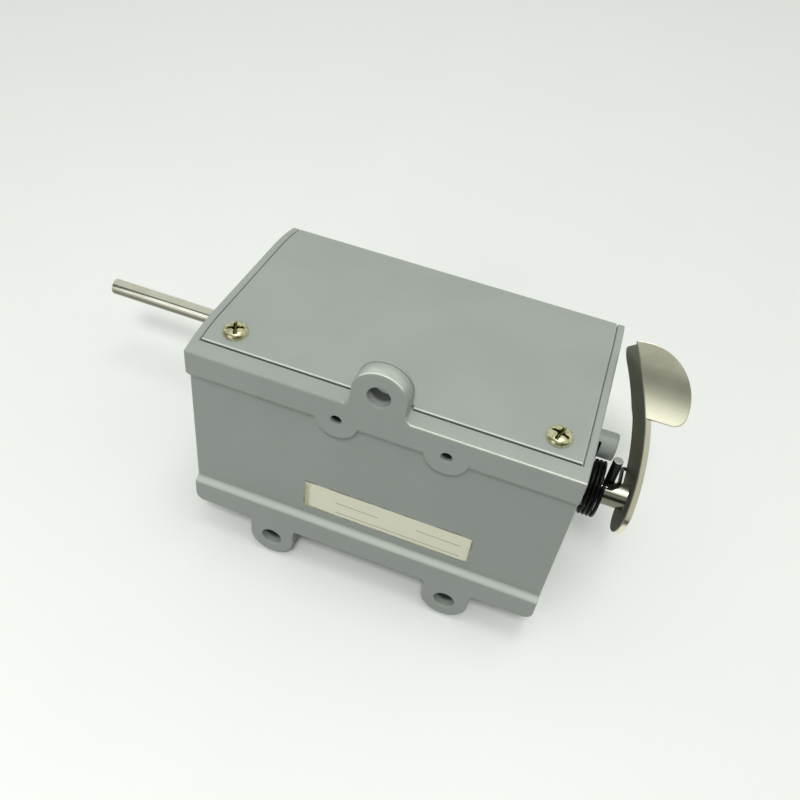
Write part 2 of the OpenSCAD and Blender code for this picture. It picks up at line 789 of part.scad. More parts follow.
function sweep_ring(p, i, r) =
    let (d = path_dir(p, i), radial = unit([0, p[i][1], p[i][2]]))
    let (u = unit(radial - d * (radial * d)), v = cross(d, u))
    [for (k = [0:wire_sides - 1])
        let (a = 360 * (k + 0.5) / wire_sides) p[i] + r * (cos(a) * u + sin(a) * v)];

module swept_wire(p, r) {
    last = len(p) - 1;
    n = wire_sides;
    polyhedron(
        points = [for (i = [0:last]) each sweep_ring(p, i, r)],
        faces = concat(
            [[for (k = [0:n - 1]) k]],
            [for (i = [0:last - 1]) for (k = [0:n - 1])
                [i * n + k, (i + 1) * n + k, (i + 1) * n + (k + 1) % n, i * n + (k + 1) % n]],
            [[for (k = [n - 1:-1:0]) last * n + k]]
        )
    );
}

module reset_spring() {
    color([0.06, 0.06, 0.06]) translate([0, reset_y, reset_z]) swept_wire(spring_path, wire_d / 2);
}

// Lever outlines use x across the case end and s along the arm from the shaft
bow_x = shoulder_x - lever_bow_r;
seat_r = 4.3;
tail_s = 11;
tip_s = 45.2;
pad_out = 7;
pad_x = half_w + pad_out;
pad_corner = 4;
lever_x1 = pad_x + pad_r + pad_corner;
module arm_strip() {
    difference() {
        translate([bow_x, 0]) circle(r = lever_bow_r + lever_t, $fn = 180);
        translate([bow_x, 0]) circle(r = lever_bow_r, $fn = 180);
        translate([bow_x - 2 * lever_bow_r, -lever_bow_r]) square(2 * lever_bow_r);
    }
}
module pad_outline() {
    reach = pad_r - pad_corner;
    corner_s = pad_low + pad_corner;
    corner_x = pad_x + sqrt(reach * reach - pow(pad_s - corner_s, 2));
    touch_s = pad_s + (corner_s - pad_s) * pad_r / reach;
    difference() {
        union() {
            intersection() {
                translate([pad_x, pad_s]) circle(r = pad_r, $fn = 120);
                union() {
                    translate([0, touch_s]) square([lever_x1, 2 * pad_r]);
                    translate([0, pad_low]) square([corner_x, 2 * pad_r]);
                }
            }
            translate([corner_x, corner_s]) circle(r = pad_corner);
        }
        translate([bow_x, 0]) circle(r = lever_bow_r + lever_t / 2, $fn = 180);
    }
}
// Side view of the arm, s and n, with round ends and a wider part beside the pad
module arm_side() {
    half = lever_w / 2;
    tip_r = 5;
    back = arm_front - lever_w;
    tip_back = back - 1.2;
    translate([-tail_s + half, arm_front - half]) circle(r = half);
    translate([-tail_s + half, back]) square([pad_low + tail_s - half, lever_w]);
    polygon([
        [pad_low - eps, back], [pad_low + 3, tip_back], [tip_s - tip_r, tip_back],
        [tip_s - tip_r, tip_back + tip_r], [tip_s, tip_back + tip_r],
        [tip_s, lever_w], [pad_low - eps, lever_w]
    ]);
    translate([tip_s - tip_r, tip_back + tip_r]) circle(r = tip_r);
}
module dish(r) {
    translate([0, dish_s, dish_n]) bar_x(0, lever_x1 + 1, 0, 0, r);
}

module reset_lever() {
    pad_t = lever_t - 0.2;
    color([0.76, 0.7, 0.58]) translate([0, reset_y, reset_z]) rotate([lever_angle, 0, 0])
        difference() {
            union() {
                difference() {
                    intersection() {
                        translate([shoulder_x, 0, 0]) rotate([0, arm_lean, 0])
                            translate([-shoulder_x, 0, -lever_w])
                            linear_extrude(2 * lever_w) arm_strip();
                        along_x(half_w, 0, 0) linear_extrude(lever_x1 - half_w) arm_side();
                    }
                    // Seats coined square to the shaft
                    bar_x(half_w, shoulder_x, 0, 0, seat_r);
                    bar_x(rivet_x, lever_x1, 0, 0, seat_r);
                }
                bar_x(shoulder_x, rivet_x, 0, 0, seat_r);
                intersection() {
                    linear_extrude(lever_w) pad_outline();
                    dish(dish_r + pad_t);
                }
            }
            intersection() {
                dish(dish_r);
                translate([0, pad_low, 0]) cube([lever_x1, 2 * pad_s, 2 * pad_s]);
            }
            bar_x(half_w, lever_x1, 0, 0, rivet_r);
        }
}

case();
cover();
cover_screws();
window_pane();
window_mask();
label();
bushes();
drive_shaft();
drive_disc();
disc_pin();
drive_clips();
number_wheel_1();
number_wheel_2();
number_wheel_3();
number_wheel_4();
number_wheel_5();
pinion_shaft();
pinion_spacers();
transfer_pinion_1();
transfer_pinion_2();
transfer_pinion_3();
transfer_pinion_4();
transfer_pinion_5();
reset_shaft();
reset_comb();
comb_pins();
reset_clips();
stop_pin();
reset_spring();
reset_lever();
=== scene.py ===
# Mechanical revolution counter: a cast case with a let-in sheet cover, five number
# wheels behind a window, a long drive shaft and a sprung lever that sets it to zero.
# Metres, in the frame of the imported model: +Z up, +Y from mounting face to window.
import math

import bmesh
import bpy
from mathutils import Euler, Matrix, Vector


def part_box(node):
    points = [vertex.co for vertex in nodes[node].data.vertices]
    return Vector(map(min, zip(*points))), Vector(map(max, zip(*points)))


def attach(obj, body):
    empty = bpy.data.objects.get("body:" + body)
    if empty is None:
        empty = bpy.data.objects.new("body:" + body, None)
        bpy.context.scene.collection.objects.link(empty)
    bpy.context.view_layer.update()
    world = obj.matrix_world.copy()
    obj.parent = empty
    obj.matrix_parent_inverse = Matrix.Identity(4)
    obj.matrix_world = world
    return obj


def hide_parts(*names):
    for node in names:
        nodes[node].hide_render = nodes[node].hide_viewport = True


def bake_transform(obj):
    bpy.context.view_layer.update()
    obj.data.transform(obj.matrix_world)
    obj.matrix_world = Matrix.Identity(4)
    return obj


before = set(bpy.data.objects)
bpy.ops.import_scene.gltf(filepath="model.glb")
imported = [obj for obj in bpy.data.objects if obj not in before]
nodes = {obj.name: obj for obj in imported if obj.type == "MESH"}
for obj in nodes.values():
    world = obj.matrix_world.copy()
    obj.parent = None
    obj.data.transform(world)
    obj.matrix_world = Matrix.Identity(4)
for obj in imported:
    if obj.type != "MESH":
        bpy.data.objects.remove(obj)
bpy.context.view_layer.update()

# The case: an aluminium casting with two ears, a lug and two tapped pads, sprayed grey.
# Handling has knocked the paint off the upper edge of the mounting side and off the rim of
# the lug, and that bare alloy is also a painted highlight. The holes and the gap before the
# cover are darkened with painted shade, and glue has crept out round the label.
MM = 0.001
CASE_EDGE = 0.5 * MM
BACK_EDGE_Z = 74.75 * MM
BACK_RIM = 5.4 * MM
GROOVE_HALF = 58 * MM
LEDGE_Z = 15.5 * MM
RECESS_Y = 2.4 * MM
LUG_R = 8.5 * MM
LUG_Z = 81.25 * MM
ROOT_R = 3 * MM
ROOT_X = LUG_R + ROOT_R
ROOT_Z = BACK_EDGE_Z + ROOT_R - 0.2 * MM
HOLES_MM = (
    (-32.0, 0.0, 3.5), (32.0, 0.0, 3.5), (0.0, 81.25, 3.5),
    (-11.9, 67.15, 1.65), (22.0, 67.15, 1.65),
)
LABEL_LOW = (-21.05 * MM, 21.35 * MM)
LABEL_SIZE = (56.5 * MM, 11.5 * MM)
WEAR_AND_HIGHLIGHT_START = 0.15 * MM
EDGE_WEAR_AND_HIGHLIGHT = 0.36 * MM
RIM_WEAR_AND_HIGHLIGHT = 0.40 * MM
WEAR_AND_HIGHLIGHT_Y = 0.32 * MM
LEFT_WEAR_AND_HIGHLIGHT = 0.28
GREY = (0.340, 0.374, 0.342)
GREY_THIN = (0.305, 0.338, 0.308)
PALE_HIGHLIGHT = (0.60, 0.64, 0.58)
BARE_ALLOY_AND_HIGHLIGHT = (0.76, 0.77, 0.68)
CREVICE_SHADE = (0.030, 0.034, 0.030)
GLUE = (0.17, 0.17, 0.10)
DRIFT_GRAIN = 26 * MM
WELD_GAP = 0.002 * MM
FLAT_ANGLE = math.radians(0.5)


class Value:
    """A value in a node tree. Python operators on it add Math nodes to that tree."""

    def __init__(self, tree, socket):
        self.tree = tree
        self.socket = socket

    def math(self, operation, *values):
        return self.tree.node("ShaderNodeMath", {"operation": operation}, dict(enumerate(values)))

    def __add__(self, other):
        return self.math("ADD", self, other)

    def __sub__(self, other):
        return self.math("SUBTRACT", self, other)

    def __rsub__(self, other):
        return self.math("SUBTRACT", other, self)

    def __mul__(self, other):
        return self.math("MULTIPLY", self, other)

    def __truediv__(self, other):
        return self.math("DIVIDE", self, other)

    def __rtruediv__(self, other):
        return self.math("DIVIDE", other, self)

    def __pow__(self, other):
        return self.math("POWER", self, other)

    def __abs__(self):
        return self.math("ABSOLUTE", self)

    __radd__ = __add__
    __rmul__ = __mul__


def length(*parts):
    """The length of the vector that has these values as its parts."""
    squares = [part ** 2 for part in parts]
    return sum(squares[1:], squares[0]) ** 0.5


class Tree:
    """A node tree with one method that adds any node to it."""

    def __init__(self, tree):
        self.tree = tree

    def put(self, socket, value):
        """Links a Value to the socket, or writes a number or a colour into it."""
        if isinstance(value, Value):
            self.tree.links.new(value.socket, socket)
        elif hasattr(value, "__len__") and len(value) == 3 and len(socket.default_value) == 4:
            socket.default_value = (*value, 1.0)
        else:
            socket.default_value = value

    def node(self, kind, settings, inputs, output=0):
        """Adds a node, sets its properties, fills its inputs and gives one output."""
        added = self.tree.nodes.new(kind)
        for name, setting in settings.items():
            setattr(added, name, setting)
        for name, value in inputs.items():
            self.put(added.inputs[name], value)
        return Value(self, added.outputs[output])

    def above(self, value, low, high):
        """0 below low, 1 above high, smooth between them."""
        return self.node(
            "ShaderNodeMapRange", {"interpolation_type": "SMOOTHSTEP"},
            {"Value": value, "From Min": low, "From Max": high},
        )

    def below(self, value, low, high):
        """1 below low, 0 above high, smooth between them."""
        return 1 - self.above(value, low, high)

    def band(self, value, start, low, high, end):
        """1 from low to high, and 0 before start and after end."""
        return self.above(value, start, low) * self.below(value, high, end)

    def mix(self, share, first, second):
        """The first colour at share 0 and the second at share 1."""
        return self.node("ShaderNodeMix", {"data_type": "RGBA"}, {0: share, 6: first, 7: second}, 2)

    def parts(self, vector):
        """The X, Y and Z of a vector, as three values."""
        return [self.node("ShaderNodeSeparateXYZ", {}, {0: vector}, axis) for axis in "XYZ"]


class Finish(Tree):
    """One surface finish: a material on the Principled shader, in Object coordinates."""

    def __init__(self, name, **numbers):
        self.material = bpy.data.materials.new(name)
        self.material.use_nodes = True
        super().__init__(self.material.node_tree)
        self.shader = self.tree.nodes["Principled BSDF"]
        self.place = self.node("ShaderNodeTexCoord", {}, {}, "Object")
        for socket, number in numbers.items():
            self.set(socket.replace("_", " ").title().replace("Ior", "IOR"), number)

    def set(self, socket, value):
        self.put(self.shader.inputs[socket], value)

    def noise(self, grain, detail=2.0, stretch=(1, 1, 1)):
        """Noise from 0 to 1 with features about grain across, drawn out by stretch."""
        scale = [1 / (grain * part) for part in stretch]
        spot = self.node("ShaderNodeMapping", {}, {"Vector": self.place, "Scale": scale})
        return self.node("ShaderNodeTexNoise", {}, {"Vector": spot, "Scale": 1.0, "Detail": detail})

    def bump(self, height, depth):
        """A normal for a relief of the given depth."""
        return self.node(
            "ShaderNodeBump", {}, {"Height": height, "Strength": 1.0, "Distance": depth},
        )


def link(name, mesh):
    """A new piece at the origin, with its place in its mesh."""
    piece = bpy.data.objects.new(name, mesh)
    bpy.context.scene.collection.objects.link(piece)
    return piece


def settled(piece):
    """The piece's mesh as its modifiers leave it, with the modifiers taken off."""
    depsgraph = bpy.context.evaluated_depsgraph_get()
    depsgraph.update()
    mesh = bpy.data.meshes.new_from_object(piece.evaluated_get(depsgraph), depsgraph=depsgraph)
    piece.modifiers.clear()
    return mesh


def made(name, solid, finish, angle=32):
    """A piece from a bmesh: smooth up to sharp edges, with its flat faces kept flat."""
    bmesh.ops.recalc_face_normals(solid, faces=solid.faces)
    mesh = bpy.data.meshes.new(name)
    solid.to_mesh(mesh)
    solid.free()
    mesh.shade_smooth()
    mesh.set_sharp_from_angle(angle=math.radians(angle))
    mesh.materials.append(finish.material)
    piece = link(name, mesh)
    weighting = piece.modifiers.new("weighting", "WEIGHTED_NORMAL")
    weighting.keep_sharp = True
    piece.data = settled(piece)
    return piece


def rounded(node, radius, steps=3, sharp=30, trim=None, spare=None):
    """A node's solid as a bmesh with its sharp outer edges rounded.

    trim moves its points first, and the edges between points that spare names stay sharp.
    """
    solid = bmesh.new()
    solid.from_mesh(nodes[node].data)
    if trim:
        for vert in solid.verts:
            trim(vert)
    bmesh.ops.remove_doubles(solid, verts=solid.verts, dist=WELD_GAP)
    bmesh.ops.dissolve_limit(
        solid, angle_limit=FLAT_ANGLE, verts=solid.verts, edges=solid.edges,
    )
    corners = [
        edge for edge in solid.edges
        if edge.is_manifold and edge.is_convex and edge.calc_face_angle() > math.radians(sharp)
        and not (spare and all(spare(vert) for vert in edge.verts))
    ]
    bmesh.ops.bevel(
        solid, geom=corners, offset=radius, offset_type="OFFSET", segments=steps, profile=0.5,
        affect="EDGES", clamp_overlap=False, miter_outer="ARC",
    )
    return solid


def paint(name, grain, relief):
    """Grey spray enamel with a slight drift of colour and orange peel of the given grain."""
    finish = Finish(name)
    drift = finish.above(finish.noise(DRIFT_GRAIN, 3), 0.35, 0.65)
    peel = finish.noise(grain, 3)
    colour = finish.mix(0.5 + 0.5 * drift, GREY_THIN, GREY)
    finish.set("Normal", finish.bump(peel, relief))
    return finish, colour, peel


case_paint, case_colour, case_peel = paint("case_paint", 0.8 * MM, 0.05 * MM)
case_x, case_y, case_z = case_paint.parts(case_paint.place)

# Bare alloy shows along the upper edge, round the roots of the lug and on the lug's rim, as
# worn paint and also as a painted highlight.
off_edge = case_y - WEAR_AND_HIGHLIGHT_Y
edge_gap = length(off_edge, case_z - BACK_EDGE_Z)
root_gap = length(off_edge, length(abs(case_x) - ROOT_X, case_z - ROOT_Z) - ROOT_R)
at_root = (
    case_paint.below(abs(case_x), ROOT_X - 0.3 * MM, ROOT_X)
    * case_paint.below(case_z, ROOT_Z - 0.8 * MM, ROOT_Z)
)
lug_ring = length(case_x, case_z - LUG_Z) - LUG_R
rim_gap = length(off_edge, lug_ring)
on_lug = case_paint.above(case_z, LUG_Z + 3.5 * MM, LUG_Z + 7 * MM)
right_side = LEFT_WEAR_AND_HIGHLIGHT + (1 - LEFT_WEAR_AND_HIGHLIGHT) * case_paint.above(case_x, 7 * MM, 11 * MM)
knocks = case_paint.noise(1.6 * MM, 4, (3, 1, 1))
edge_wear_and_highlight = (
    case_paint.below(edge_gap, WEAR_AND_HIGHLIGHT_START, EDGE_WEAR_AND_HIGHLIGHT)
    + at_root * case_paint.below(root_gap, WEAR_AND_HIGHLIGHT_START, EDGE_WEAR_AND_HIGHLIGHT)
)
rim_wear_and_highlight = case_paint.below(rim_gap, WEAR_AND_HIGHLIGHT_START, RIM_WEAR_AND_HIGHLIGHT) * on_lug
wear_and_highlight = (edge_wear_and_highlight * right_side + rim_wear_and_highlight) * (0.15 + 1.3 * knocks)
wear_and_highlight = case_paint.above(wear_and_highlight, 0.36, 0.52)
# The top of the lug is painted pale, as rubbed paint and as a painted highlight.
rubbed_and_highlight = (
    on_lug * case_paint.below(case_y, 1.5 * MM, 5 * MM)
    * case_paint.below(abs(lug_ring), 0.1 * MM, 0.3 * MM)
)

# Painted shade darkens the holes deep inside and the gap before the cover.
hole_shade = 0.0
for hole_x, hole_z, hole_r in HOLES_MM:
    ring = length(case_x - hole_x * MM, case_z - hole_z * MM)
    inside = (
        case_paint.below(ring, (hole_r + 0.02) * MM, (hole_r + 0.1) * MM)
        * case_paint.above(case_y, 0.3 * MM, 0.8 * MM)
    )
    deep = case_paint.above(case_y, 0.6 * hole_r * MM, 1.05 * hole_r * MM)
    hole_shade = inside * deep + hole_shade
groove_shade = case_paint.band(
    case_y, BACK_RIM - 0.3 * MM, BACK_RIM - 0.05 * MM, BACK_RIM, BACK_RIM + 0.2 * MM,
)
groove_shade = groove_shade * case_paint.above(case_z, BACK_EDGE_Z - 2 * MM, BACK_EDGE_Z - 1 * MM)
groove_shade = groove_shade * case_paint.below(abs(case_x), GROOVE_HALF, GROOVE_HALF + 0.6 * MM)

# A painted highlight lies along the soft step over the lower band.
ledge_highlight = case_paint.band(
    case_z, LEDGE_Z, LEDGE_Z + 0.9 * MM, LEDGE_Z + 1.0 * MM, LEDGE_Z + 2.1 * MM,
)
ledge_highlight = ledge_highlight * case_paint.below(case_y, RECESS_Y - 0.05 * MM, RECESS_Y + 0.05 * MM)

# Glue has spread a little way out from the label.
off_label = case_x.math("MAXIMUM", *[
    abs(place - low - size / 2) - size / 2
    for place, low, size in zip((case_x, case_z), LABEL_LOW, LABEL_SIZE)
])
glue = case_paint.below(off_label, 0.4 * MM, 0.9 * MM)
glue = glue * case_paint.above(case_paint.noise(5 * MM, 4), 0.42, 0.56)
glue = glue * case_paint.below(abs(case_y - RECESS_Y), 0.05 * MM, 0.1 * MM)

# Pale highlight paint, glue, and the painted shade of the holes and the gap, laid on in turn.
for share, colour in (
    (rubbed_and_highlight * knocks, PALE_HIGHLIGHT),
    (0.7 * glue, GLUE),
    (0.75 * ledge_highlight, PALE_HIGHLIGHT),
    (0.92 * (hole_shade + groove_shade), CREVICE_SHADE),
):
    case_colour = case_paint.mix(share, case_colour, colour)
# Bare alloy on the worn edges, which also serves as a painted highlight, with a little metallic
# shine.
case_paint.set("Base Color", case_paint.mix(wear_and_highlight, case_colour, BARE_ALLOY_AND_HIGHLIGHT))
case_paint.set("Roughness", 0.38 + 0.14 * case_peel)
case_paint.set("Metallic", 0.2 * wear_and_highlight)
case = made("cast_case", rounded("case", CASE_EDGE), case_paint)
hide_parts("case")
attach(case, "housing")

# The cover: steel sheet bent down over the front, with the window punched in it. The same
# enamel lies smoother on it than on the casting. Its cut edges are paler, as thin paint and as
# a painted highlight, and the gap before the back rim is painted dark as shade.
SHEET_EDGE = 0.4 * MM
COVER_HALF = 58.3 * MM
COVER_BACK = 5.7 * MM
PALE_EDGE_HIGHLIGHT = (0.72, 0.76, 0.70)
cover_paint, cover_colour, cover_peel = paint("cover_paint", 1.8 * MM, 0.025 * MM)
cover_x, cover_y, cover_z = cover_paint.parts(cover_paint.place)
near_side = cover_paint.above(abs(cover_x), COVER_HALF - 0.5 * MM, COVER_HALF - 0.1 * MM)
near_back = cover_paint.below(cover_y, COVER_BACK + 0.4 * MM, COVER_BACK + 0.8 * MM)
in_gap = cover_paint.below(cover_y, COVER_BACK + 0.1 * MM, COVER_BACK + 0.22 * MM)
# Pale cut edges: thin paint and a painted highlight.
thin_coat_and_highlight = (near_back + 0.5 * near_side) * (0.5 + cover_paint.noise(5 * MM, 3))
cover_colour = cover_paint.mix(0.7 * thin_coat_and_highlight, cover_colour, PALE_EDGE_HIGHLIGHT)
# The gap before the back rim is painted dark as shade.
cover_paint.set("Base Color", cover_paint.mix(0.82 * in_gap, cover_colour, CREVICE_SHADE))
cover_paint.set("Roughness", 0.36 + 0.12 * cover_peel)
cover = made("sheet_cover", rounded("cover", SHEET_EDGE), cover_paint)
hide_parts("cover")
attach(cover, "housing")

# The cover screws: M4 pan heads with a cross recess, zinc-plated and yellow passivated.
# Two hold the cover down behind the lug and two hold it at the foot of the window side.
SCREW_X = 50.2 * MM
SCREW_Y = 12.2 * MM
FRONT_Y = 78 * MM
FRONT_SCREW_Z = 16.75 * MM
CROWN_RUN = 18 * MM
CROWN_R = 66.05 * MM
CROWN_Z = 11.2 * MM
HEAD_R = 3.85 * MM
HEAD_H = 2.2 * MM
HEAD_RIM = 0.5 * MM
SHANK_R = 2 * MM
SHANK_LENGTH = 9 * MM
HEAD_DOME = 2.8
RECESS_REACH = 2.3 * MM
RECESS_DEPTH = 1.5 * MM
RECESS_HALF = 0.42 * MM
RECESS_WALL = 0.12 * MM
RECESS_END = 0.5 * MM
CORE_R = 0.95 * MM
CORE_WALL = 0.15 * MM
HEAD_SIDES = 96
HEAD_RINGS = 40
ZINC = (0.85, 0.82, 0.55)
ZINC_CLOUD = (0.56, 0.54, 0.29)
RECESS_SHADE = (0.09, 0.09, 0.03)
tilt = math.asin((CROWN_RUN - SCREW_Y) / CROWN_R)
seat_z = CROWN_Z + CROWN_R * math.cos(tilt)
yellow_zinc = Finish("yellow_zinc", metallic=1.0)
zinc_cloud = yellow_zinc.noise(1.1 * MM, 3)
zinc_grain = yellow_zinc.noise(0.25 * MM, 3)
zinc_tone = yellow_zinc.mix(yellow_zinc.above(zinc_cloud, 0.4, 0.62), ZINC, ZINC_CLOUD)
screw_x, screw_y, screw_z = yellow_zinc.parts(yellow_zinc.place)
# The cross recesses are painted dark olive as shade.
sunk = 0.0
for height, off_axis in (
    ((screw_z - seat_z) * math.cos(tilt) - (screw_y - SCREW_Y) * math.sin(tilt), screw_y - SCREW_Y),
    (screw_y - FRONT_Y, screw_z - FRONT_SCREW_Z),
):
    off_centre = length(abs(screw_x) - SCREW_X, off_axis)
    sunk = sunk + (
        yellow_zinc.below(off_centre, 2.2 * MM, 2.6 * MM)
        * yellow_zinc.below(abs(height - 1.1 * MM), 0.5 * MM, 0.75 * MM)
    )
yellow_zinc.set("Base Color", yellow_zinc.mix(0.9 * sunk, zinc_tone, RECESS_SHADE))
yellow_zinc.set("Roughness", 0.2 + 0.16 * zinc_grain)
yellow_zinc.set("Normal", yellow_zinc.bump(zinc_grain, 0.02 * MM))


def head_height(across, along):
    """Height of the screw head's top above its seat, with the cross recess sunk in it."""
    radius = math.hypot(across, along)
    dome = math.sqrt(max(0.0, 1 - (radius / HEAD_R) ** HEAD_DOME))
    top = HEAD_RIM + (HEAD_H - HEAD_RIM) * dome
    near, far = sorted((abs(across), abs(along)))
    wall = (RECESS_HALF - near) / RECESS_WALL
    end = (RECESS_REACH - far) / RECESS_END
    centre = (CORE_R - radius) / CORE_WALL
    sunk = max(min(wall, end), centre)
    return top - RECESS_DEPTH * min(1.0, max(0.0, 0.5 + 0.5 * sunk))


def screw_solid():
    """One screw as a bmesh, with its head seated on z = 0 and its shank below."""
    solid = bmesh.new()
    turns = [math.tau * side / HEAD_SIDES for side in range(HEAD_SIDES)]
    peak = solid.verts.new((0, 0, head_height(0, 0)))
    rings = []
    for ring in range(1, HEAD_RINGS + 1):
        radius = HEAD_R * math.sin(math.pi / 2 * ring / HEAD_RINGS)
        spots = [(radius * math.cos(turn), radius * math.sin(turn)) for turn in turns]
        rings.append([solid.verts.new((x, y, head_height(x, y))) for x, y in spots])
    for radius, height in ((HEAD_R, 0), (SHANK_R, 0), (SHANK_R, -SHANK_LENGTH)):
        rings.append([
            solid.verts.new((radius * math.cos(turn), radius * math.sin(turn), height))
            for turn in turns
        ])
    for side in range(HEAD_SIDES):
        after = (side + 1) % HEAD_SIDES
        solid.faces.new((peak, rings[0][side], rings[0][after]))
        for inner, outer in zip(rings, rings[1:]):
            solid.faces.new((inner[side], outer[side], outer[after], inner[after]))
    solid.faces.new(rings[-1])
    return solid


def group(name, inputs):
    """A Geometry Nodes group with named inputs. It gives the tree and its input values."""
    tree = bpy.data.node_groups.new(name, "GeometryNodeTree")
    tree.interface.new_socket("Geometry", in_out="INPUT", socket_type="NodeSocketGeometry")
    for title, kind in inputs.items():
        tree.interface.new_socket(title, in_out="INPUT", socket_type=kind)
    tree.interface.new_socket("Geometry", in_out="OUTPUT", socket_type="NodeSocketGeometry")
    whole = Tree(tree)
    given = tree.nodes.new("NodeGroupInput")
    return whole, {socket.name: Value(whole, socket) for socket in given.outputs if socket.name}


def grown(name, mesh, whole, geometry, finish, **inputs):
    """Ends a group in real geometry of the finish, runs it on a mesh and keeps the result."""
    geometry = whole.node("GeometryNodeRealizeInstances", {}, {"Geometry": geometry})
    geometry = whole.node(
        "GeometryNodeSetMaterial", {}, {"Geometry": geometry, "Material": finish.material},
    )
    whole.put(whole.tree.nodes.new("NodeGroupOutput").inputs[0], geometry)
    piece = link(name, mesh)
    growth = piece.modifiers.new("growth", "NODES")
    growth.node_group = whole.tree
    for item in whole.tree.interface.items_tree:
        title = item.name.lower().replace(" ", "_")
        if item.in_out == "INPUT" and title in inputs:
            growth[item.identifier] = inputs[title]
    piece.data = settled(piece)
    return piece


# Each screw has its place, the lean of its axis and the turn of its recess in degrees.
screw_seats = [
    ((-SCREW_X, SCREW_Y, seat_z), (tilt, 0, 0), 25),
    ((SCREW_X, SCREW_Y, seat_z), (tilt, 0, 0), 72),
    ((-SCREW_X, FRONT_Y, FRONT_SCREW_Z), (-math.pi / 2, 0, 0), 10),
    ((SCREW_X, FRONT_Y, FRONT_SCREW_Z), (-math.pi / 2, 0, 0), 50),
]
seats = bpy.data.meshes.new("cover_screw_heads")
seats.from_pydata([place for place, lean, turn in screw_seats], [], [])
leans = seats.attributes.new("lean", "FLOAT_VECTOR", "POINT")
for seat, (place, lean, turn) in zip(leans.data, screw_seats):
    seat.vector = (Euler(lean).to_matrix() @ Matrix.Rotation(math.radians(turn), 3, "Z")).to_euler()
master = made("screw_master", screw_solid(), yellow_zinc, 50)
screw_row, given = group("screw_row", {"Screw": "NodeSocketObject"})
one_screw = screw_row.node("GeometryNodeObjectInfo", {}, {"Object": given["Screw"]}, "Geometry")
lean = screw_row.node(
    "GeometryNodeInputNamedAttribute", {"data_type": "FLOAT_VECTOR"}, {"Name": "lean"},
)
row = screw_row.node(
    "GeometryNodeInstanceOnPoints", {},
    {"Points": given["Geometry"], "Instance": one_screw, "Rotation": lean},
)
screws = grown("cover_screw_heads", seats, screw_row, row, yellow_zinc, screw=master)
bpy.data.objects.remove(master)
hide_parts("cover_screws")
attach(screws, "housing")

# The window: a clear acrylic pane clamped behind the opening, and behind it a black mask
# of card that leaves one hole for each number wheel.
PANE_TINT = (0.93, 0.97, 0.95)
CARD_TONES = ((0.012, 0.012, 0.013), (0.03, 0.03, 0.03))
pane = Finish("window_acrylic", roughness=0.03, ior=1.49, transmission_weight=1.0)
pane.set("Base Color", PANE_TINT)
pane.set("Normal", pane.bump(pane.noise(4 * MM, 4), 0.004 * MM))


def mottled(name, grain, tones, rough, spread, relief=0, detail=3, stretch=(1, 1, 1), **numbers):
    """Two tones mixed by one noise, which also sets the roughness and, with relief, bumps."""
    finish = Finish(name, **numbers)
    mottle = finish.noise(grain, detail, stretch)
    finish.set("Base Color", finish.mix(mottle, *tones))
    finish.set("Roughness", rough + spread * mottle)
    if relief:
        finish.set("Normal", finish.bump(mottle, relief))
    return finish


card = mottled("mask_card", 0.3 * MM, CARD_TONES, 0.6, 0.2, relief=0.02 * MM)


def dress(finish, *names):
    """Gives the solids of these names the finish."""
    for name in names:
        for slot in nodes[name].material_slots:
            slot.material = finish.material


dress(pane, "window_pane")
dress(card, "window_mask")

# The label: a strip of plain ruled paper stuck in the recess. It lies a little uneven, and
# its glue has yellowed it at the ends and along the lower edge.
PAPER_T = 0.11 * MM
PAPER_BACK = 0.004 * MM
PAPER_CURL = 0.10 * MM
PAPER_WAVE = 0.012 * MM
CURL_FROM = 0.9
PAPER_COLUMNS = 56
PAPER_ROWS = 12
RULE_HALF = 0.13 * MM
RULES = ((0.19, 0.455, 0.54), (0.19, 0.955, 0.14), (0.68, 0.95, 0.58))
RULE_END = 0.3 * MM
RULE_INK = (0.10, 0.10, 0.09)
CREAM = (0.92, 0.91, 0.73)
CREAM_DULL = (0.60, 0.59, 0.44)
STAIN = (0.46, 0.43, 0.25)
paper = Finish("label_paper")
paper_x, paper_y, paper_z = paper.parts(paper.place)
from_left = paper_x - LABEL_LOW[0]
from_low = paper_z - LABEL_LOW[1]
from_end = abs(from_left - LABEL_SIZE[0] / 2) - LABEL_SIZE[0] / 2
blot = paper.noise(2.2 * MM, 3)
left_stain = paper.below(from_left, 0, 6.5 * MM) * 0.55
end_stain = paper.above(from_end, -2.6 * MM, 0.2 * MM) * 0.4
foot_stain = paper.below(from_low, 0, 1.1 * MM) * 0.6
stained = paper.above((left_stain + end_stain + foot_stain) * (0.1 + 1.5 * blot), 0.15, 0.95)
tone = paper.mix(0.25 * paper.noise(9 * MM, 3), CREAM, CREAM_DULL)
tone = paper.mix(0.85 * stained, tone, STAIN)
rule = 0.0
for start, stop, level in RULES:
    start, stop, level = start * LABEL_SIZE[0], stop * LABEL_SIZE[0], level * LABEL_SIZE[1]
    reach = paper.band(from_left, start, start + RULE_END, stop - RULE_END, stop)
    rule = reach * paper.below(abs(from_low - level), 0.5 * RULE_HALF, 1.5 * RULE_HALF) + rule
paper.set("Base Color", paper.mix(0.75 * rule, tone, RULE_INK))
pulp = paper.noise(0.2 * MM, 3)
paper.set("Roughness", 0.62 + 0.15 * pulp)
paper.set("Normal", paper.bump(pulp, 0.008 * MM))

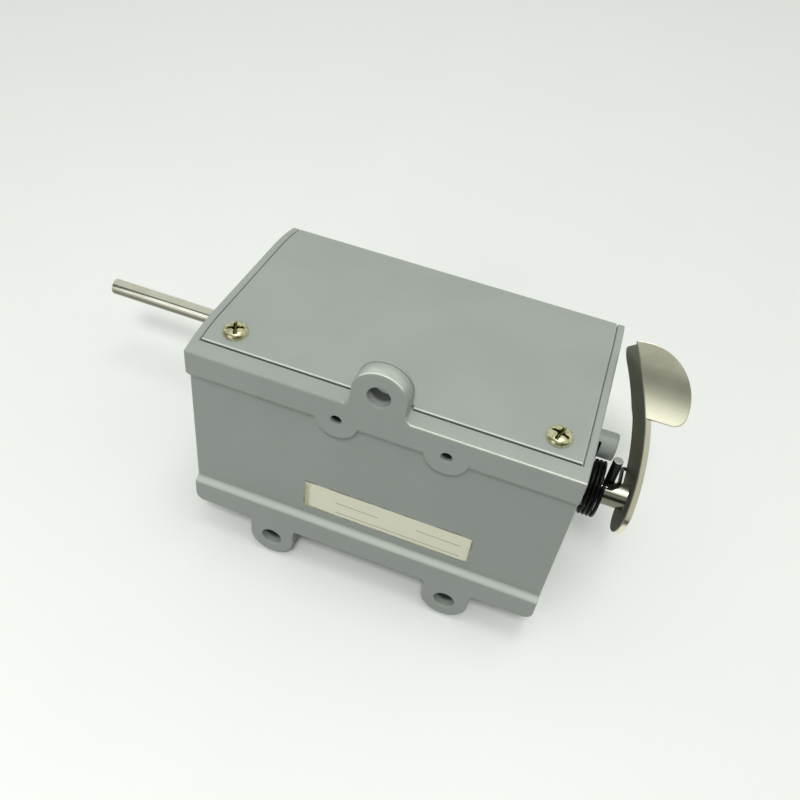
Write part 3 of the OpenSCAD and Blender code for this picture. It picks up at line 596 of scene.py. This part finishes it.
# The sheet is a closed strip whose back lies in the recess and whose face waves a little.
sheet = bmesh.new()
face, back = [], []
for row_number in range(PAPER_ROWS + 1):
    for column in range(PAPER_COLUMNS + 1):
        u = column / PAPER_COLUMNS
        v = row_number / PAPER_ROWS
        curl = PAPER_CURL * v * max(0, abs(2 * u - 1) - CURL_FROM) / (1 - CURL_FROM)
        wave = PAPER_WAVE * (1 + math.sin(9 * u + 2 * v) * math.sin(5 * v + 3 * u))
        for layer, lift in ((face, PAPER_T + wave + curl), (back, PAPER_BACK + 0.8 * curl)):
            layer.append(sheet.verts.new((
                LABEL_LOW[0] + u * LABEL_SIZE[0], RECESS_Y - lift, LABEL_LOW[1] + v * LABEL_SIZE[1]
            )))
per_row = PAPER_COLUMNS + 1
for layer in (face, back):
    for row_number in range(PAPER_ROWS):
        for column in range(PAPER_COLUMNS):
            corner = row_number * per_row + column
            sheet.faces.new([layer[corner + step] for step in (0, 1, per_row + 1, per_row)])
rim = [
    *range(PAPER_COLUMNS),
    *[PAPER_COLUMNS + per_row * row_number for row_number in range(PAPER_ROWS)],
    *[per_row * PAPER_ROWS + column for column in range(PAPER_COLUMNS, 0, -1)],
    *[per_row * row_number for row_number in range(PAPER_ROWS, 0, -1)],
]
for here, there in zip(rim, rim[1:] + rim[:1]):
    sheet.faces.new((face[here], face[there], back[there], back[here]))
label = made("ruled_label", sheet, paper)
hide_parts("label")
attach(label, "housing")

# The number wheels: black moulded wheels with white printed figures, the units wheel at
# the drive end. Each figure is a thin closed sheet of ink bent round the wheel's rim.
WHEELS = 5
MIDDLE_WHEEL = (WHEELS + 1) / 2
DIGITS = 10
WHEEL_PITCH = 14.5 * MM
WHEEL_Y = 55 * MM
WHEEL_Z = 40.75 * MM
RIM_R = 17.5 * MM
FIGURE_SIZE = 9.2 * MM
FIGURE_BOLD = 0.16 * MM
INK = 0.05 * MM
BEND_STEP = 0.5 * MM
CUT_GAP = 0.0001 * MM
PLASTIC_TONES = ((0.010, 0.010, 0.011), (0.022, 0.022, 0.023))
INK_TONES = ((0.70, 0.70, 0.66), (0.85, 0.85, 0.81))
wheel_plastic = mottled(
    "wheel_plastic", 0.25 * MM, PLASTIC_TONES, 0.42, 0.12, relief=0.01 * MM, detail=2,
)
ink = mottled("figure_ink", 0.6 * MM, INK_TONES, 0.5, 0.2)


def add_figure(ring, digit, wheel_x):
    """Adds one digit to a bmesh, on the rim of the wheel at wheel_x and upright when it reads."""
    text = bpy.data.curves.new("figure", "FONT")
    text.body = str(digit)
    text.size = FIGURE_SIZE
    text.offset = FIGURE_BOLD
    text.align_x = "CENTER"
    text.align_y = "CENTER"
    holder = link("figure", text)
    flat = settled(holder)
    bpy.data.objects.remove(holder)
    figure = bmesh.new()
    figure.from_mesh(flat)
    bmesh.ops.remove_doubles(figure, verts=figure.verts, dist=0.01 * MM)
    cuts = int(FIGURE_SIZE / BEND_STEP)
    for cut in range(-cuts, cuts + 1):
        bmesh.ops.bisect_plane(
            figure, geom=figure.verts[:] + figure.edges[:] + figure.faces[:], dist=CUT_GAP,
            plane_co=(0, cut * BEND_STEP, 0), plane_no=(0, 1, 0),
        )
    raised = bmesh.ops.extrude_face_region(figure, geom=figure.faces[:], use_keep_orig=True)
    for part in raised["geom"]:
        if isinstance(part, bmesh.types.BMVert):
            part.co.z = 2 * INK
    for vert in figure.verts:
        radius = RIM_R - INK + vert.co.z
        angle = vert.co.y / RIM_R - digit * math.tau / DIGITS
        vert.co = (
            wheel_x - vert.co.x,
            WHEEL_Y + radius * math.cos(angle),
            WHEEL_Z + radius * math.sin(angle),
        )
    figure.to_mesh(flat)
    figure.free()
    ring.from_mesh(flat)
    bpy.data.meshes.remove(flat)


for wheel in range(1, WHEELS + 1):
    dress(wheel_plastic, f"number_wheel_{wheel}")
    ring = bmesh.new()
    for digit in range(DIGITS):
        add_figure(ring, digit, (wheel - MIDDLE_WHEEL) * WHEEL_PITCH)
    figures = made(f"figures_{wheel}", ring, ink)
    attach(figures, f"wheel_{wheel}")

# The works: brass disc and pinions on plain steel shafts, steel comb, dark clips and pins,
# and oil-soaked bronze bushes whose flanges show on the end walls.
BRASS_TONES = ((0.80, 0.60, 0.28), (0.58, 0.40, 0.17))
BRONZE_TONES = ((0.36, 0.24, 0.12), (0.62, 0.45, 0.25))
STEEL_TONES = ((0.50, 0.50, 0.50), (0.66, 0.66, 0.65))
DARK_TONES = ((0.05, 0.05, 0.052), (0.12, 0.12, 0.12))
brass = Finish("gear_brass", metallic=1.0)
tarnish = brass.above(brass.noise(3 * MM, 3), 0.4, 0.7)
brass.set("Base Color", brass.mix(tarnish, *BRASS_TONES))
brass.set("Roughness", 0.25 + 0.15 * tarnish)
bronze = mottled(
    "bearing_bronze", 0.35 * MM, BRONZE_TONES, 0.55, -0.2, relief=0.02 * MM, metallic=1.0,
)
steel = mottled(
    "plain_steel", 0.15 * MM, STEEL_TONES, 0.24, 0.14, detail=2, stretch=(1, 30, 30), metallic=1.0,
)
dark_steel = mottled("dark_steel", 0.4 * MM, DARK_TONES, 0.4, 0.2, metallic=1.0)
dress(brass, "drive_disc", *[f"transfer_pinion_{wheel}" for wheel in range(1, WHEELS + 1)])
dress(bronze, "bushes")
dress(steel, "pinion_shaft", "pinion_spacers", "reset_comb")
dress(dark_steel, "disc_pin", "drive_clips", "comb_pins", "reset_clips")

# The drive shaft: 6 mm steel rod, ground and nickel-plated, with a turned chamfer at its
# outer end. Inside the case it runs in 5 mm journals behind a shoulder. Its underside is
# painted dark brown as shade.
SHAFT_R = 3 * MM
JOURNAL_R = 2.5 * MM
JOURNAL_X = 62.5 * MM
CHAMFER = 0.5 * MM
NICKEL = (0.84, 0.83, 0.71)
NICKEL_DULL = (0.74, 0.73, 0.60)
UNDERSIDE_SHADE = (0.10, 0.10, 0.065)


def turned(profile, stand, sides=96):
    """A turned solid as a bmesh. The profile lists (x, radius) from end to end about X."""
    solid = bmesh.new()
    turns = [math.tau * side / sides for side in range(sides)]
    rings = [
        [solid.verts.new((x, radius * math.cos(turn), radius * math.sin(turn))) for turn in turns]
        for x, radius in profile
    ]
    for low, high in zip(rings, rings[1:]):
        for side in range(sides):
            after = (side + 1) % sides
            solid.faces.new((low[side], low[after], high[after], high[side]))
    solid.faces.new(rings[0])
    solid.faces.new(rings[-1])
    solid.transform(stand)
    return solid


def plated(name, rough, marks, bright, faded):
    """Nickel plate over ground steel, with its grinding marks drawn out by marks.

    It gives the finish, its colour between bright and faded, and its roughness.
    """
    finish = Finish(name, metallic=1.0)
    scratch = finish.noise(0.12 * MM, 2, marks)
    dull = finish.above(finish.noise(9 * MM, 2), 0.42, 0.7)
    finish.set("Normal", finish.bump(scratch, 0.001 * MM))
    return finish, finish.mix(0.5 * dull, bright, faded), rough + 0.05 * scratch + 0.04 * dull


def oiled(name, axis_z, low, high):
    """The plate of a shaft, painted dark brown below low as shade. Heights are in shaft radii."""
    finish, tone, rough = plated(name, 0.11, (8, 60, 60), NICKEL, NICKEL_DULL)
    height = (finish.parts(finish.place)[2] - axis_z) / SHAFT_R
    finish.set("Base Color", finish.mix(0.85 * finish.below(height, low, high), tone, UNDERSIDE_SHADE))
    finish.set("Roughness", rough)
    return finish


shaft_nickel = oiled("shaft_nickel", WHEEL_Z, 0.05, 0.3)
shaft_low, shaft_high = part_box("drive_shaft")
drive_shaft = made("drive_shaft_rod", turned([
    (shaft_low.x, SHAFT_R - CHAMFER),
    (shaft_low.x + CHAMFER, SHAFT_R),
    (-JOURNAL_X, SHAFT_R),
    (-JOURNAL_X, JOURNAL_R),
    (shaft_high.x, JOURNAL_R),
], Matrix.Translation((0, WHEEL_Y, WHEEL_Z))), shaft_nickel)
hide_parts("drive_shaft")
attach(drive_shaft, "drive")

# The reset shaft: the same plated rod, with a thicker hub that seats the lever and an end
# that is riveted over it.
RESET_Y = 22.5 * MM
RESET_Z = 51.75 * MM
HUB_R = 4 * MM
HUB_X = 64 * MM
SHOULDER_X = 75.5 * MM
SHOULDER_GAP = 0.06 * MM
LEVER_T = 2 * MM
RIVET_R = 2.4 * MM
RIVET_HEAD = 3.6 * MM
RIVET_TIP = 0.4 * MM
rivet_x = SHOULDER_X + LEVER_T
# The hub is painted dark brown below its top as shade, like the shaft's underside.
hub_nickel = oiled("hub_nickel", RESET_Z, 0.75, 1.15)
reset_low, reset_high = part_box("reset_shaft")
rivet_dome = [
    (rivet_x + (reset_high.x - rivet_x) * math.sin(turn), RIVET_HEAD * math.cos(turn) ** 0.6)
    for turn in map(math.radians, range(10, 90, 10))
]
reset_shaft = made("reset_shaft_rod", turned([
    (reset_low.x, JOURNAL_R),
    (JOURNAL_X, JOURNAL_R),
    (JOURNAL_X, SHAFT_R),
    (HUB_X, SHAFT_R),
    (HUB_X, HUB_R),
    (SHOULDER_X - SHOULDER_GAP, HUB_R),
    (SHOULDER_X - SHOULDER_GAP, RIVET_R),
    (rivet_x, RIVET_R),
    (rivet_x, RIVET_HEAD),
    *rivet_dome,
    (reset_high.x, RIVET_TIP),
], Matrix.Translation((0, RESET_Y, RESET_Z))), hub_nickel)
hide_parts("reset_shaft")
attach(reset_shaft, "reset")

# The stop pin: blackened steel pressed through the reset shaft. Its upper end was cropped
# bright after blackening, and meets the boss on the case when the lever is down.
PIN_R = 1.5 * MM
PIN_END = 0.3 * MM
BLACK_TONES = ((0.012, 0.014, 0.013), (0.04, 0.045, 0.042))
CROPPED_STEEL = (0.55, 0.56, 0.54)
pin_low, pin_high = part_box("stop_pin")
pin_x = (pin_low.x + pin_high.x) / 2
black_oxide = Finish("black_oxide", metallic=1.0)
bloom = black_oxide.noise(0.5 * MM, 3)
pin_height = black_oxide.parts(black_oxide.place)[2]
cropped = black_oxide.above(pin_height, pin_high.z - 0.32 * MM, pin_high.z - 0.12 * MM)
black = black_oxide.mix(bloom, *BLACK_TONES)
black_oxide.set("Base Color", black_oxide.mix(cropped, black, CROPPED_STEEL))
black_oxide.set("Roughness", 0.3 + 0.2 * bloom)
upright = Matrix.Translation((pin_x, RESET_Y, 0)) @ Matrix.Rotation(-math.pi / 2, 4, "Y")
stop_pin = made("stop_pin_rod", turned([
    (pin_low.z, PIN_R - PIN_END),
    (pin_low.z + PIN_END, PIN_R),
    (pin_high.z - PIN_END, PIN_R),
    (pin_high.z - PIN_END / 3, PIN_R - PIN_END / 3),
    (pin_high.z, PIN_R - PIN_END),
], upright, 48), black_oxide)
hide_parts("stop_pin")
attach(stop_pin, "reset")

# The torsion spring: black oiled wire. It leans on the case's boss, winds round the reset
# shaft, passes the foot of the stop pin and hooks behind the lever. The wire is swept, and
# its coils wind up from the case's leg to the hook when the lever goes down.
WIRE_R = 0.6 * MM
COIL_R = 8.35 * MM
COIL_X = 63 * MM
COIL_PITCH = 1.26 * MM
COIL_TURN = 1315
COIL_STEP = 5
LEG_Z = (11 * MM, 5.5 * MM)
BEND_REACH = 0.9 * MM
BEND_PARTS = 6
WIRE_SIDES = 16
WIRE_TONES = ((0.010, 0.012, 0.011), (0.035, 0.038, 0.036))
PASS_Y = 2.4 * MM
PASS_Z = HUB_R + WIRE_R + 0.3 * MM
HOOK_TIP = 1.5 * MM
LEVER_LEAN = math.radians(46)
ARM_LEAN = math.radians(9)
ARM_FRONT = 5.75 * MM
LEVER_W = 13 * MM
hook_s = 8.5 * MM
hook_n = ARM_FRONT - LEVER_W - WIRE_R - LEVER_T * math.sin(ARM_LEAN) - 0.2 * MM
hook_x = SHOULDER_X - 2.2 * MM
hook_y = hook_s * math.cos(LEVER_LEAN) - hook_n * math.sin(LEVER_LEAN)
hook_z = hook_s * math.sin(LEVER_LEAN) + hook_n * math.cos(LEVER_LEAN)
wire = mottled("spring_wire", 0.4 * MM, WIRE_TONES, 0.28, 0.2, metallic=1.0)
route = [Vector((COIL_X, COIL_R, height)) for height in LEG_Z]
for degrees in range(0, COIL_TURN + 1, COIL_STEP):
    turn = math.radians(degrees)
    route.append(Vector((
        COIL_X + COIL_PITCH * degrees / 360, COIL_R * math.cos(turn), -COIL_R * math.sin(turn)
    )))
coil_end = route[-1]
bends = [
    coil_end,
    Vector((pin_x - PASS_Y / 2, -PASS_Y, PASS_Z + WIRE_R)),
    Vector((pin_x + PASS_Y / 2, -PASS_Y, PASS_Z)),
    Vector((pin_x + PASS_Y + WIRE_R, 0, PASS_Z)),
    Vector((hook_x - WIRE_R / 2, hook_y, hook_z)),
    Vector((SHOULDER_X + LEVER_T + HOOK_TIP, hook_y, hook_z)),
]
for before, bend, after in zip(bends, bends[1:], bends[2:]):
    reach = min(BEND_REACH, (bend - before).length / 2.2, (after - bend).length / 2.2)
    enter = bend + (before - bend).normalized() * reach
    leave = bend + (after - bend).normalized() * reach
    for part in range(BEND_PARTS + 1):
        share = part / BEND_PARTS
        route.append(enter.lerp(bend, share).lerp(bend.lerp(leave, share), share))
route.append(bends[-1])
path = bpy.data.meshes.new("torsion_spring")
path.from_pydata(
    [point + Vector((0, RESET_Y, RESET_Z)) for point in route],
    [(step, step + 1) for step in range(len(route) - 1)], [],
)
sweep, given = group("wire_sweep", {"Wire radius": "NodeSocketFloat", "Sides": "NodeSocketInt"})
curve = sweep.node("GeometryNodeMeshToCurve", {}, {"Mesh": given["Geometry"]})
section = sweep.node(
    "GeometryNodeCurvePrimitiveCircle", {},
    {"Resolution": given["Sides"], "Radius": given["Wire radius"]},
)
swept = sweep.node(
    "GeometryNodeCurveToMesh", {}, {"Curve": curve, "Profile Curve": section, "Fill Caps": True},
)
swept = sweep.node("GeometryNodeSetShadeSmooth", {}, {"Geometry": swept})
spring = grown(
    "torsion_spring", path, sweep, swept, wire, wire_radius=WIRE_R, sides=WIRE_SIDES,
)
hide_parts("reset_spring")
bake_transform(spring)

# The lever: stamped and bowed sheet steel with a dished thumb pad, plated like the shafts.
# Tumbling has rounded its edges. Its face towards the case is rougher and painted dark as shade.
LEVER_EDGE = 0.3 * MM
PAD_FOOT = 24.6 * MM
SEAT_R = 4.3 * MM
BOW_R = 88 * MM
BURR = 0.02 * MM
WARM_NICKEL = (0.90, 0.87, 0.70)
WARM_DULL = (0.82, 0.78, 0.60)
INNER_FACE_SHADE = (0.24, 0.24, 0.20)
lever_nickel, lever_tone, lever_rough = plated(
    "lever_nickel", 0.2, (6, 6, 6), WARM_NICKEL, WARM_DULL,
)
lever_x, lever_y, lever_z = lever_nickel.parts(lever_nickel.place)
arm_s = (lever_y - RESET_Y) * math.cos(LEVER_LEAN) + (lever_z - RESET_Z) * math.sin(LEVER_LEAN)
arm_n = (lever_z - RESET_Z) * math.cos(LEVER_LEAN) - (lever_y - RESET_Y) * math.sin(LEVER_LEAN)
bow_x = (lever_x - SHOULDER_X) * math.cos(ARM_LEAN) - arm_n * math.sin(ARM_LEAN) + BOW_R
through = length(bow_x, arm_s) - BOW_R
inner_face = lever_nickel.below(through, 0.2 * MM, 0.6 * MM)
front_edge = (
    lever_nickel.above(arm_n, ARM_FRONT - 0.25 * MM, ARM_FRONT - 0.1 * MM)
    * lever_nickel.below(arm_s, PAD_FOOT - 0.6 * MM, PAD_FOOT)
)
# The face towards the case is painted dark as shade.
lever_nickel.set("Base Color", lever_nickel.mix(0.85 * inner_face, lever_tone, INNER_FACE_SHADE))
lever_nickel.set("Roughness", lever_rough + 0.3 * inner_face + 0.32 * front_edge)


def file_burr(vert):
    """Files off the thin burr left on the front of the arm at the foot of the pad."""
    along = Vector((0, math.cos(LEVER_LEAN), math.sin(LEVER_LEAN)))
    out = Vector((0, -math.sin(LEVER_LEAN), math.cos(LEVER_LEAN)))
    spot = vert.co - Vector((0, RESET_Y, RESET_Z))
    proud = spot.dot(out) - ARM_FRONT
    if abs(spot.dot(along) - PAD_FOOT) < 1.5 * BURR and proud > BURR:
        vert.co -= proud * out


def on_seat(vert):
    """Whether a point lies on the hole of the lever or on the flat seat coined round it."""
    return math.hypot(vert.co.y - RESET_Y, vert.co.z - RESET_Z) < SEAT_R + 0.2 * MM


lever_solid = rounded("reset_lever", LEVER_EDGE, trim=file_burr, spare=on_seat)
lever = made("thumb_lever", lever_solid, lever_nickel)
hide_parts("reset_lever")
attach(lever, "reset")

# The table: pale and smooth. The counter lies on its two ears and the lower edge of its
# window side, so the table slopes against the counter's own frame. It throws less light up
# at the sides than it shows to the camera and in the plated parts.
EAR_BOTTOM = (7 * MM, -8 * MM)
FRONT_BOTTOM = (78 * MM, 6.75 * MM)
TABLE_HALF = 3.0
PALE_TONES = ((0.86, 0.875, 0.85), (0.88, 0.895, 0.87))
THROWN_TONE = (0.50, 0.51, 0.495)
slope = math.atan2(FRONT_BOTTOM[1] - EAR_BOTTOM[1], FRONT_BOTTOM[0] - EAR_BOTTOM[0])
table_top = Finish("table_top", roughness=0.45)
seen = 0.0
for ray in ("Is Camera Ray", "Is Glossy Ray", "Is Transmission Ray"):
    seen = table_top.node("ShaderNodeLightPath", {}, {}, ray) + seen
pale = table_top.mix(table_top.noise(40 * MM, 2), *PALE_TONES)
table_top.set("Base Color", table_top.mix(seen, THROWN_TONE, pale))
table_mesh = bpy.data.meshes.new("table")
lay = Matrix.Translation((0, *EAR_BOTTOM)) @ Matrix.Rotation(slope, 4, "X")
corners = ((-1, -1), (1, -1), (1, 1), (-1, 1))
table_mesh.from_pydata(
    [lay @ Vector((x * TABLE_HALF, y * TABLE_HALF, 0)) for x, y in corners], [], [(0, 1, 2, 3)],
)
table_mesh.materials.append(table_top.material)
table = link("table", table_mesh)

# The light: a soft lamp high in front, one overhead and a window low at the front left, in
# a room with a pale ceiling and back wall. The room is dark behind the camera, but for two
# soft glows that the plated parts mirror.
FRONT_LIGHT = 0.08
CEILING_LIGHT = 0.55
CEILING_SLOPE = 1.35
CEILING_FADE = 0.22
ROOM_WHITE = (0.97, 1.0, 0.95)
GLOWS = (
    ((0.16, -0.86, 0.48), 0.13, 0.28, 0.50),
    ((0.10, -0.42, 0.90), 0.12, 0.36, 0.45),
)
world = bpy.data.worlds.new("room")
bpy.context.scene.world = world
world.use_nodes = True
room = Tree(world.node_tree)
room_x, room_y, room_z = room.parts(room.node("ShaderNodeTexCoord", {}, {}, "Generated"))
ceiling = CEILING_LIGHT * room.above(room_z + CEILING_SLOPE * room_y, 0.0, CEILING_FADE)
glow = 0.0
for (glow_x, glow_y, glow_z), full, gone, strength in GLOWS:
    off_glow = length(room_x - glow_x, room_y - glow_y, room_z - glow_z)
    glow = strength * room.below(off_glow, full, gone) + glow
background = world.node_tree.nodes["Background"]
room.put(background.inputs["Color"], ROOM_WHITE)
room.put(background.inputs["Strength"], FRONT_LIGHT + ceiling + glow)


def lamp(name, direction, distance, size, power):
    """A rectangular lamp that looks at the origin from a distance in the direction."""
    light = bpy.data.lights.new(name, "AREA")
    light.shape = "RECTANGLE"
    light.size, light.size_y = size
    light.energy = power
    holder = link(name, light)
    holder.location = Vector(direction).normalized() * distance
    holder.rotation_euler = (-holder.location).to_track_quat("-Z", "Y").to_euler()
    return holder


front_lamp = lamp("front_lamp", (0.08, -0.52, 0.85), 1.2, (0.26, 0.22), 5.4)
front_lamp.visible_glossy = False  # plated parts mirror the soft glow near it instead
lamp("overhead_lamp", (0.10, -0.05, 1.0), 1.2, (0.5, 0.3), 2.6)
lamp("window_lamp", (-0.46, -0.82, 0.34), 0.45, (0.30, 0.34), 0.33)

# The camera: close above the mounting side, as the photograph was taken.
CAMERA_PLACE = (42.2 * MM, -155.0 * MM, 232.75 * MM)
CAMERA_RIGHT = Vector((0.937, 0.330, 0.115))
CAMERA_FORWARD = Vector((-0.165, 0.710, -0.685))
camera_data = bpy.data.cameras.new("camera")
camera_data.lens = 36
camera_data.sensor_width = 36
camera_data.clip_start = 0.01
camera_data.clip_end = 20
camera = link("camera", camera_data)
camera_up = CAMERA_RIGHT.cross(CAMERA_FORWARD)
facing = Matrix((CAMERA_RIGHT, camera_up, -CAMERA_FORWARD)).transposed().normalized()
camera.matrix_world = Matrix.Translation(CAMERA_PLACE) @ facing.to_4x4()
bpy.context.scene.camera = camera
bpy.context.scene.view_settings.view_transform = "Standard"
